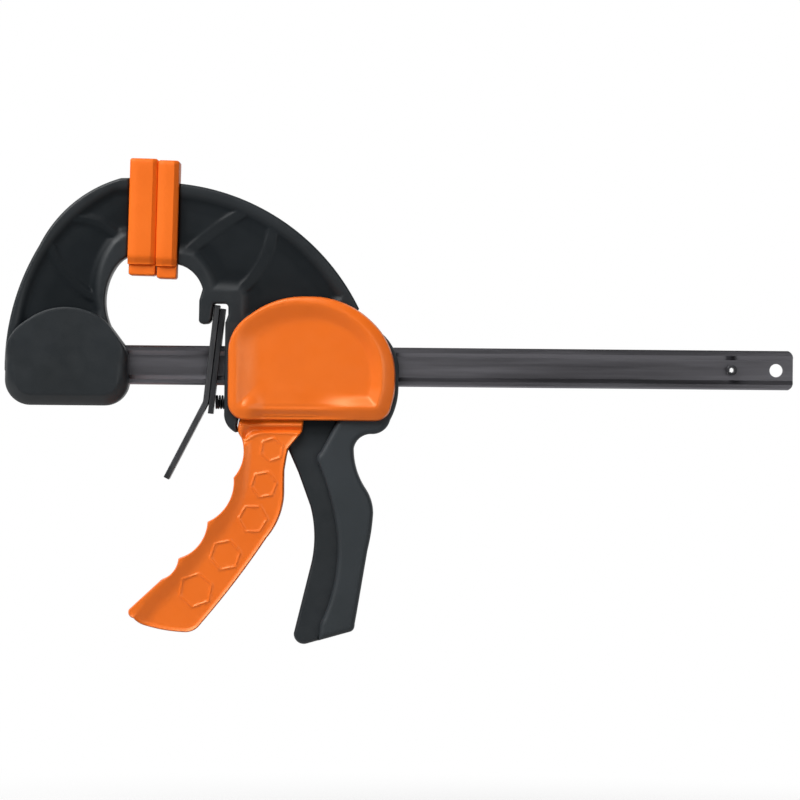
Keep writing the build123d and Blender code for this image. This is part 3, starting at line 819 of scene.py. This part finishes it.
def crest_line():
    """The crest between border and dish, nearer to the edge at the upper left."""
    along = np.roll(COVER_LINE, -1, axis=0) - np.roll(COVER_LINE, 1, axis=0)
    along /= np.linalg.norm(along, axis=1)[:, None]
    inward = np.stack([-along[:, 1], along[:, 0]], axis=1)
    inset = CREST_INSET + inward @ np.array(CREST_SHIFT) - CREST_CORNER_INSET * corner_share(-inward)
    return COVER_LINE + inward * inset[:, None]


CREST_LINE = crest_line()


def dish_drop(from_crest, fall, out):
    """How far the dish has dropped from its crest: steeply, then easing to its floor."""
    steep = DISH_STEEP[0] + out @ np.array(DISH_STEEP[1:3]) + DISH_STEEP[3] * corner_share(out)
    width = DISH_WIDTH[0] + DISH_WIDTH[1] * out[:, 0]
    slope = fall / ((steep + width) / 2)
    past = np.clip(from_crest - steep, 0, width - steep)
    return slope * (np.minimum(from_crest, steep) + past - past ** 2 / (2 * (width - steep)))


def cover_top(p):
    """A bevelled edge, a border that rises to a crest, and a dish with a flat floor. Along the middle of the
    lower edge the crest sinks to the floor."""
    from_edge = distance(p, COVER_LINE)
    from_crest = distance(p, CREST_LINE)
    out = p - np.array(COVER_CENTRE)
    out /= np.maximum(np.linalg.norm(out, axis=1), TINY)[:, None]
    in_middle = smooth(p[:, 0], *LOW_MIDDLE_LEFT) * (1 - smooth(p[:, 0], *LOW_MIDDLE_RIGHT))
    low_middle = in_middle * (1 - smooth(p[:, 1], *LOW_MIDDLE_TOP))
    fall = DISH_DEPTH * (1 - LOW_MIDDLE_SHALLOW * low_middle)
    crest = DISH_FLOOR + fall
    share = from_edge / np.maximum(from_edge + from_crest, TINY)
    rise = BORDER_RISE[0] + BORDER_RISE[1] * out[:, 0] + BORDER_RISE[2] * out[:, 1]
    even = np.maximum(rise, BORDER_LEAST_RISE) * (1 - share) ** BORDER_POWER
    stepped = LOW_BORDER_RISE * (1 - smooth(share, *LOW_BORDER_SPAN))
    border = crest - even - (stepped - even) * low_middle
    dish = crest - dish_drop(from_crest, fall, out)
    crest_round = CREST_ROUND * np.exp(-(from_crest / CREST_SOFT) ** 2)
    bevel = edge_bevel(from_edge, *COVER_BEVEL)
    high = np.where(inside(p, CREST_LINE), dish, border)
    return high - crest_round - bevel - edge_round(from_edge, COVER_EDGE)


def cover_regions(with_screws):
    """The shell and its screw posts, with bores if the screws go in here."""
    wall_line = rings(COVER_LINE, [COVER_WALL])
    regions = [Region(COVER_LINE, cover_top, core=BODY),
               Region(wall_line, cover_top, core=SCREW_SEAT, within=True)]
    for spot in SCREW_PLACES:
        regions.append(Region(circle_line(spot, SCREW_POST), cover_top, core=BODY, within=True))
        if with_screws:
            regions.append(Region(circle_line(spot, SCREW_HEAD), SCREW_SEAT, core=BODY, within=True))
            regions.append(Region(circle_line(spot, SCREW_SHANK, 24), void=True))
    return regions


def make_covers():
    edge_rings = [COVER_EDGE * share for share in ROUND_STEPS] + list(BORDER_STEPS)
    ring_points = [rings(COVER_LINE, edge_rings), CREST_LINE, rings(CREST_LINE, CREST_STEPS),
                   rings(CREST_LINE, [-step for step in CREST_STEPS[:CREST_STEPS_OUT]])]
    for name, node, side in (("front_cover", "cover_front", -1), ("rear_cover", "cover_rear", 1)):
        regions = cover_regions(with_screws=side > 0)
        cover = moulding(name, regions, ring_points, clear=0.9, least=0.2, sides=(side,))
        place(cover, "sliding_head", "orange_plastic", node)


# ---- trigger

WALL_INSIDE = 9.2
NOSE_HALF = 4.3
PIN_PLAY = 0.05
TRIGGER_EDGE = 0.3
# width and drop of the bevel
TRIGGER_BEVEL = (0.55, 0.9)
# slope of the side towards the fingers, low and high, and the levels between
FLARE_SLOPE = 0.4
FLARE_STEEP = 0.5
FLARE_STEEP_SPAN = (-142, -118)
# how far the slope takes to set in, the most that it rises, and its start below the lip
FLARE_EASE = 4.2
FLARE_MOST = 2.8
FLARE_START = (0.4, 1.6)
# a low rim along the rear edge and the foot
RIM_RISE = 1
RIM_WIDTH = 2.3
RIM_POWER = 1.6
# the head has a crest, a valley and a lip below each other
CREST_Z = -99.9
CREST = 12.8
VALLEY = 10.8
HEAD_TOP = 11.4
HEAD_TOP_Z = -97.6
LIP_Z = -103.9
LIP_RISE = 0.35
LIP_FOOT = 1.2
# at the front the lip falls away: from where, how steeply and how far
LIP_FALL_X = 53
LIP_FALL = 0.46
LIP_FALL_REACH = 20
# raised hexagons, and the rise, half width and foot of their lines
HEX_CENTRES = ((56.6, -111.8), (52.9, -128.8), (47.7, -145.4), (34.6, -163), (20.4, -180.1))
HEX_RADII = (5.7, 6.4, 6.9, 7.4, 8.2)
HEX_TURNS = (20, 10, 0, 12, 20)
HEX_RISE = 0.38
HEX_HALF = 0.12
HEX_FOOT = 0.6
HEX_STEP = 1.2


def hexagon(centre, radius, turn):
    corners = [(centre[0] + radius * math.cos(math.radians(turn + 60 * k)),
                centre[1] + radius * math.sin(math.radians(turn + 60 * k))) for k in range(6)]
    return closed(*corners, step=HEX_STEP)


def between_lines(from_first, from_second):
    """0 on the first line and 1 on the second, with an even curve between."""
    return smooth(from_first / np.maximum(from_first + from_second, TINY), 0, 1)


def make_trigger():
    px, pz = PIVOT
    tip = (-9.4, -193.8)
    back = [
        ((-7.2, -195.8), (-4.6, -197.1)), ((5, -199.4), (15, -200.4)), ((19.5, -199.5), (22.9, -196.5)),
        ((40.1, -174.9), (54.1, -154.9)), ((60.3, -144.2), (62.4, -131)), (62.4, -122), (63.6, -114.6),
        (64.4, -111.4), (71.2, -103)]
    side = closed(
        (40.6, -98), (40.1, -100.8), ((40.3, -103.6), (41.8, -106.2)), ((43, -112.5), (38.3, -125.5)),
        ((36.1, -137.2), (25.9, -147)), ((22.8, -156.7), (12, -164.9)), ((9.5, -171.1), (3.6, -175.3)),
        (-11.6, -189.5), ((-11.9, -191.6), tip), *back, (71.8, -98), (66, -85), (64.2, -66),
        (px + 6.5, pz), ((px, pz + 6.5), (px - 6.5, pz)), (50.4, -60))
    rim = path(tip, *back)
    hollow = closed(
        (46, -98), (46.6, -106), ((46.9, -113.5), (42.3, -127)), ((39.2, -140), (29.5, -149.8)),
        ((25.5, -159.8), (15, -168)), (-3.5, -188), (9, -195), (30, -195), (90, -130),
        (90, -40), (30, -40), (30, -98))
    flare = path((47.4, -96), ((47.6, -116), (46, -131.5)), ((41.3, -144), (31.2, -158.2)),
                 ((20, -173.2), (4.9, -189.2)), (-3, -200))
    fingers = closed(*[tuple(q) for q in flare[::4]], tuple(flare[-1]), (-30, -200), (-30, -150),
                     (20, -96))
    valley = path((71.5, -102.2), (49.5, -102.4), ((46, -103), (43.9, -105.4)))
    lip = path((71, LIP_Z), (LIP_FALL_X, LIP_Z), ((48.6, -104.9), (44.2, -107.9)))
    crest = path((71.5, CREST_Z), (46, CREST_Z), ((42.6, -100.9), (41.2, -103.4)), (42, -105.8))
    nose = closed((60, BAR_Z - 3.5), (67.4, BAR_Z - 3.5), ((70.9, BAR_Z), (67.4, BAR_Z + 3.5)),
                  (60, BAR_Z + 3.5))
    hexagons = [hexagon(*row) for row in zip(HEX_CENTRES, HEX_RADII, HEX_TURNS)]

    def grip_high(p, below_lip, from_lip):
        """The side below the head: it spreads towards the fingers, with a rim and a lip."""
        away = np.where(inside(p, fingers), distance(p, flare, False), 0)
        slope = FLARE_SLOPE + (FLARE_STEEP - FLARE_SLOPE) * smooth(p[:, 1], *FLARE_STEEP_SPAN)
        risen = np.where(away < FLARE_EASE, away * away / (2 * FLARE_EASE), away - FLARE_EASE / 2) * slope
        high = TRIGGER + np.minimum(risen, FLARE_MOST) * smooth(below_lip, *FLARE_START)
        high += RIM_RISE * np.clip(1 - distance(p, rim, False) / RIM_WIDTH, 0, 1) ** RIM_POWER
        return high + LIP_RISE * (1 - smooth(from_lip, 0, LIP_FOOT))

    def head_high(p, from_lip):
        """The head: a crest and a lip with a valley between."""
        from_valley, from_crest = distance(p, valley, False), distance(p, crest, False)
        high = np.where(from_lip < from_crest,
                        VALLEY + (TRIGGER + LIP_RISE - VALLEY) * between_lines(from_valley, from_lip),
                        VALLEY + (CREST - VALLEY) * between_lines(from_valley, from_crest))
        above_crest = CREST - (CREST - HEAD_TOP) * smooth(p[:, 1], CREST_Z, HEAD_TOP_Z)
        return np.where(p[:, 1] > CREST_Z, above_crest, high)

    def top(p):
        below_lip = LIP_Z - LIP_FALL * np.clip(LIP_FALL_X - p[:, 0], 0, LIP_FALL_REACH) - p[:, 1]
        from_lip = distance(p, lip, False)
        high = np.where(below_lip < 0, head_high(p, from_lip), grip_high(p, below_lip, from_lip))
        for line in hexagons:
            high += HEX_RISE * (1 - smooth(distance(p, line), HEX_HALF, HEX_HALF + HEX_FOOT))
        from_side = distance(p, side)
        return high - edge_bevel(from_side, *TRIGGER_BEVEL) - edge_round(from_side, TRIGGER_EDGE)

    regions = [
        Region(side, top), Region(hollow, top, core=WALL_INSIDE, within=True),
        Region(nose, TRIGGER, core=NOSE_HALF), Region(circle_line(PIVOT, PIN_RADIUS + PIN_PLAY), void=True)]
    hex_steps = both_ways([HEX_HALF + HEX_FOOT * share for share in (0, 0.33, 0.66, 1)])
    ring_points = [
        rings(side, edge_steps(TRIGGER_EDGE) + both_ways([TRIGGER_BEVEL[0]])),
        rings(rim, [0.8, 1.2, 1.7, RIM_WIDTH], False), rings(crest, both_ways([0.4, 0.8, 1.3]), False),
        rings(valley, both_ways([0.35, 0.7]), False), rings(lip, both_ways([0.2, 0.45, 0.7, 1]), False),
        rings(flare, [-1, -2, -3, -FLARE_EASE], False), *[rings(line, hex_steps) for line in hexagons]]
    guides = [crest, valley, lip, *[np.vstack([line, line[:1]]) for line in hexagons]]
    trigger = moulding("trigger_body", regions, ring_points, guides, grid=1.4, clear=0.7)
    place(trigger, "trigger_body", "orange_plastic", "trigger")


# ---- pads

PAD_EDGE = 0.5
PAD_HEAD_EDGE = 1.4
PAD_CORNER = 1.2
PAD_FOOT_CORNER = 0.2
# slope and reach of the chamfers along the left and right edges
PAD_LEFT_SLOPE = (0.3, 3.2)
PAD_RIGHT_SLOPE = (0.85, 2.4)
# how far the pad's sides draw in above the lip, over which height, and how suddenly
PAD_TUCK = 1.9
PAD_TUCK_REACH = 5
PAD_TUCK_POWER = 1.4
PAD_TUCK_STEPS = (0.6, 1.3, 2.1, 3, 4, 5)
PAD_LIP = 11.4
PAD_LIP_EDGE = 0.9
PAD_LIP_INSET = 0.6
PAD_RING_INSET = 0.3


def make_pad(name, node, body, near, far, foot, head, lip_foot):
    """A soft pad: a tall block that tucks in above a narrower lip, leaned with the jaw's face."""
    low, high = min(near, far), max(near, far)
    block = rounded((low, foot, PAD_FOOT_CORNER), (high, foot, PAD_FOOT_CORNER), (high, head, PAD_CORNER),
                    (low, head, PAD_CORNER))
    lip = rounded((low + PAD_LIP_INSET, lip_foot, PAD_CORNER), (high, lip_foot, PAD_CORNER),
                  (high, foot, PAD_FOOT_CORNER), (low + PAD_LIP_INSET, foot, PAD_FOOT_CORNER))

    def block_top(p):
        from_left, from_right = p[:, 0] - low, high - p[:, 0]
        sides = edge_round(np.minimum(from_left, from_right), PAD_EDGE)
        value = PAD - sides - edge_round(head - p[:, 1], PAD_HEAD_EDGE)
        for gap, (slope, reach) in ((from_left, PAD_LEFT_SLOPE), (from_right, PAD_RIGHT_SLOPE)):
            value = value - slope * np.clip(reach - gap, 0, reach)
        return value - PAD_TUCK * (1 - smooth(p[:, 1], foot, foot + PAD_TUCK_REACH)) ** PAD_TUCK_POWER

    regions = [Region(block, block_top), Region(lip, even_top(PAD_LIP, lip, PAD_LIP_EDGE))]
    left, right = low + PAD_RING_INSET, high - PAD_RING_INSET
    bottom, top = foot + PAD_RING_INSET, head - PAD_RING_INSET
    ring_points = [
        rings(block, edge_steps(PAD_EDGE)), rings(lip, edge_steps(PAD_LIP_EDGE)),
        *[path((x, bottom), (x, top)) for x in (low + PAD_LEFT_SLOPE[1], high - PAD_RIGHT_SLOPE[1])],
        *[path((left, foot + step), (right, foot + step)) for step in PAD_TUCK_STEPS]]
    pad = moulding(name, regions, ring_points, grid=2.2, turn=Matrix.Rotation(PAD_LEAN, 3, "Y"))
    place(pad, body, "orange_pad", node)


def make_pads():
    make_pad("fixed_pad_block", "fixed_pad", "fixed_frame", 0, -13.5, -23, 28.1, -28.3)
    make_pad("moving_pad_block", "moving_pad", "sliding_head", 0.1, 10.3, -23.6, 27.5, -29.5)


# ---- springs and metal edges

COIL_TURN_STEPS = 40
WIRE_SIDES = 10
COIL_SHARP_ANGLE = 60

METAL_EDGES = {
    "bar": 0.35, "bar_stop_pin": 0.3, "release_lever": 0.45, "brake_plate": 0.3, "trigger_pin": 0.3,
    "cover_screws": 0.25, "fixed_jaw_pins": 0.3, **{f"drive_plate_{k}": 0.2 for k in (1, 2, 3)}}
METAL_EDGE_ANGLE = 35
METAL_WELD_M = 1e-6


def make_coil(name, node, body, start, end, centre_z, radius, wire, turns):
    """A wire coil along the bar, with a flat closed turn at each end."""
    total = int((turns + 2) * COIL_TURN_STEPS)
    points, faces = [], []
    for i in range(total + 1):
        turn = i / COIL_TURN_STEPS
        share = min(max((turn - 1) / turns, 0), 1)
        along = start + wire + (end - start - 2 * wire) * share
        angle = 2 * math.pi * turn
        out = Vector((0, math.cos(angle), math.sin(angle)))
        centre = Vector((along, 0, centre_z)) + out * radius
        for k in range(WIRE_SIDES):
            a = 2 * math.pi * k / WIRE_SIDES
            lengthwise = Vector((wire * math.sin(a), 0, 0))
            points.append(tuple((centre + out * wire * math.cos(a) + lengthwise) * MM))
    for i in range(total):
        for k in range(WIRE_SIDES):
            a, b = i * WIRE_SIDES + k, i * WIRE_SIDES + (k + 1) % WIRE_SIDES
            faces.append((a, b, b + WIRE_SIDES, a + WIRE_SIDES))
    faces.append(tuple(range(WIRE_SIDES)))
    faces.append(tuple(total * WIRE_SIDES + k for k in reversed(range(WIRE_SIDES))))
    coil = mesh_object(name, points, faces, sharp=COIL_SHARP_ANGLE)
    return place(coil, body, "spring_steel", node)


def make_springs():
    drive = make_coil("drive_spring_coil", "drive_spring", "sliding_head", 76.95, 111, BAR_Z, 11.3, 0.85, 6)
    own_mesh(drive)
    brake = make_coil("brake_spring_coil", "brake_spring", "sliding_head", 28.85, 39.5, -89.1, 2.95, 0.5, 7.5)
    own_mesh(brake)


def soften_metal():
    for node, width in METAL_EDGES.items():
        obj = frame["nodes"][node]
        weld = obj.modifiers.new("weld", "WELD")
        weld.merge_threshold = METAL_WELD_M
        bevel = obj.modifiers.new("edges", "BEVEL")
        bevel.width = width * MM
        bevel.segments = 2
        bevel.limit_method = "ANGLE"
        bevel.angle_limit = math.radians(METAL_EDGE_ANGLE)
        bevel.harden_normals = True


# ---- camera, light and floor

VIEW_DISTANCE = 3000
VIEW_CENTRE = (118.33, -87.3)
MM_PER_PIXEL = 0.485
VIEW_ROLL = math.radians(0.522)
SENSOR = 36
PICTURE = 800
CAMERA_REACH_M = (0.05, 60)

# the rest of the sizes here are in metres
FLOOR_Z = -0.300
FLOOR_HALF = 4
FLOOR_GREY = 0.35
FLOOR_GLOW = 0.68
# where the floor turns white, going out, and where it shows in reflections, going back
FLOOR_FADE = (0.2, 0.55)
FLOOR_GLOSS_FADE = (-0.35, 0.05)
FLOOR_GLOSS_FRONT = 0.1

# the world's level as light, and in reflections from in front, behind and below
ROOM_LIGHT = 0.09
GLOSS_FRONT = 0.05
GLOSS_BACK = 1
GLOSS_BELOW = 0.1
# the directions between which those levels change
BACK_SPAN = (-0.15, 0.5)
BELOW_SPAN = (-0.5, 0)

LAMP_TARGET = (0.118, 0, -0.08)
# place, width and height, and power
LAMPS = {
    "key": ((-1.17, -1.65, 1.75), (2.4, 2), 100),
    "fill": ((1.5, -2.4, 0), (1.6, 1.4), 16),
    "left": ((-1.9, -1.7, 0.5), (0.7, 1.2), 0.5),
}


def make_camera():
    camera = new_object("camera", bpy.data.cameras.new("camera"))
    camera.data.sensor_width = SENSOR
    camera.data.lens = VIEW_DISTANCE / MM_PER_PIXEL * SENSOR / PICTURE
    camera.data.clip_start, camera.data.clip_end = CAMERA_REACH_M
    c, s = math.cos(VIEW_ROLL), math.sin(VIEW_ROLL)
    camera.matrix_world = Matrix((
        (c, -s, 0, VIEW_CENTRE[0] * MM),
        (0, 0, -1, -VIEW_DISTANCE * MM),
        (s, c, 0, VIEW_CENTRE[1] * MM),
        (0, 0, 0, 1)))
    bpy.context.scene.camera = camera


def make_lights():
    for name, (location, size, power) in LAMPS.items():
        data = bpy.data.lights.new(name, "AREA")
        data.shape = "RECTANGLE"
        data.size, data.size_y = size
        data.energy = power
        lamp = new_object(name, data)
        lamp.location = location
        lamp.rotation_euler = (Vector(LAMP_TARGET) - Vector(location)).to_track_quat("-Z", "Y").to_euler()


def camera_and_gloss(tree, gloss):
    """1 for camera rays, gloss for reflected and refracted ones, 0 for the rest."""
    rays = add(tree, "LightPath", {}).outputs
    mirror = combine(tree, "MAXIMUM", rays["Is Glossy Ray"], rays["Is Transmission Ray"])
    return combine(tree, "MAXIMUM", rays["Is Camera Ray"], combine(tree, "MULTIPLY", mirror, gloss))


def floor_material():
    """Pale grey with a glow that only the camera and reflections see, and plain white further out."""
    material, tree, shader = new_material("floor")
    feed(tree, shader, {"Base Color": (*[FLOOR_GREY] * 3, 1), "Roughness": 0.9,
                        "Specular IOR Level": 0.05})
    where = object_place(tree)
    gloss = remap(tree, split(tree, where)["Y"], FLOOR_GLOSS_FADE, (FLOOR_GLOSS_FRONT, 1), "SMOOTHSTEP")
    seen = camera_and_gloss(tree, gloss)
    glow = add(tree, "Emission", {"Strength": combine(tree, "MULTIPLY", seen, FLOOR_GLOW)})
    near = add(tree, "AddShader", {0: shader.outputs[0], 1: glow.outputs[0]})
    away = add(tree, "VectorMath", {0: where, 1: (VIEW_CENTRE[0] * MM, 0, FLOOR_Z)}, operation="DISTANCE")
    far = remap(tree, away.outputs["Value"], FLOOR_FADE, (0, 1), "SMOOTHSTEP")
    white = add(tree, "Emission", {})
    whiteness = combine(tree, "MULTIPLY", far, seen)
    mix = add(tree, "MixShader", {"Fac": whiteness, 1: near.outputs[0], 2: white.outputs[0]})
    feed(tree, tree.nodes["Material Output"], {"Surface": mix.outputs[0]})
    return material


def make_floor():
    """A pale floor that keeps the clamp's soft shadow and fades to white."""
    mesh = bpy.data.meshes.new("floor")
    corners = [(x * FLOOR_HALF + VIEW_CENTRE[0] * MM, y * FLOOR_HALF, FLOOR_Z)
               for x, y in ((-1, -1), (1, -1), (1, 1), (-1, 1))]
    mesh.from_pydata(corners, [], [(0, 1, 2, 3)])
    floor = new_object("floor", mesh)
    mesh.materials.append(floor_material())


def make_world():
    """White to the camera. Reflections see white behind, a little light below and a dim room elsewhere."""
    world = bpy.data.worlds.new("studio")
    bpy.context.scene.world = world
    world.use_nodes = True
    tree = world.node_tree
    direction = split(tree, add(tree, "TexCoord", {}).outputs["Generated"])
    behind = remap(tree, direction["Y"], BACK_SPAN, (GLOSS_FRONT, GLOSS_BACK), "SMOOTHSTEP")
    below = remap(tree, direction["Z"], BELOW_SPAN, (GLOSS_BELOW, 0), "SMOOTHSTEP")
    shown = feed(tree, tree.nodes["Background"], {"Color": WHITE, "Strength": ROOM_LIGHT})
    mirrored = add(tree, "Background", {"Color": WHITE, "Strength": combine(tree, "MAXIMUM", behind, below)})
    white = add(tree, "Background", {"Color": WHITE})
    rays = add(tree, "LightPath", {}).outputs
    for ray, background in (("Is Glossy Ray", mirrored), ("Is Camera Ray", white)):
        shown = add(tree, "MixShader", {"Fac": rays[ray], 1: shown.outputs[0], 2: background.outputs[0]})
    feed(tree, tree.nodes["World Output"], {"Surface": shown.outputs[0]})


def dress_nodes():
    """Gives every node the material of its slot in the record."""
    for row in frame["record"]["subparts"]:
        obj = frame["nodes"][row["node"]]
        obj.data.materials.clear()
        obj.data.materials.append(MATERIALS[row["material_slot"]])


make_camera()
make_world()
make_lights()
make_floor()
make_fixed_jaw()
make_sliding_jaw()
make_hand_grip()
make_covers()
make_trigger()
make_pads()
make_springs()
soften_metal()
dress_nodes()

scene = bpy.context.scene
scene.view_settings.view_transform = "Standard"
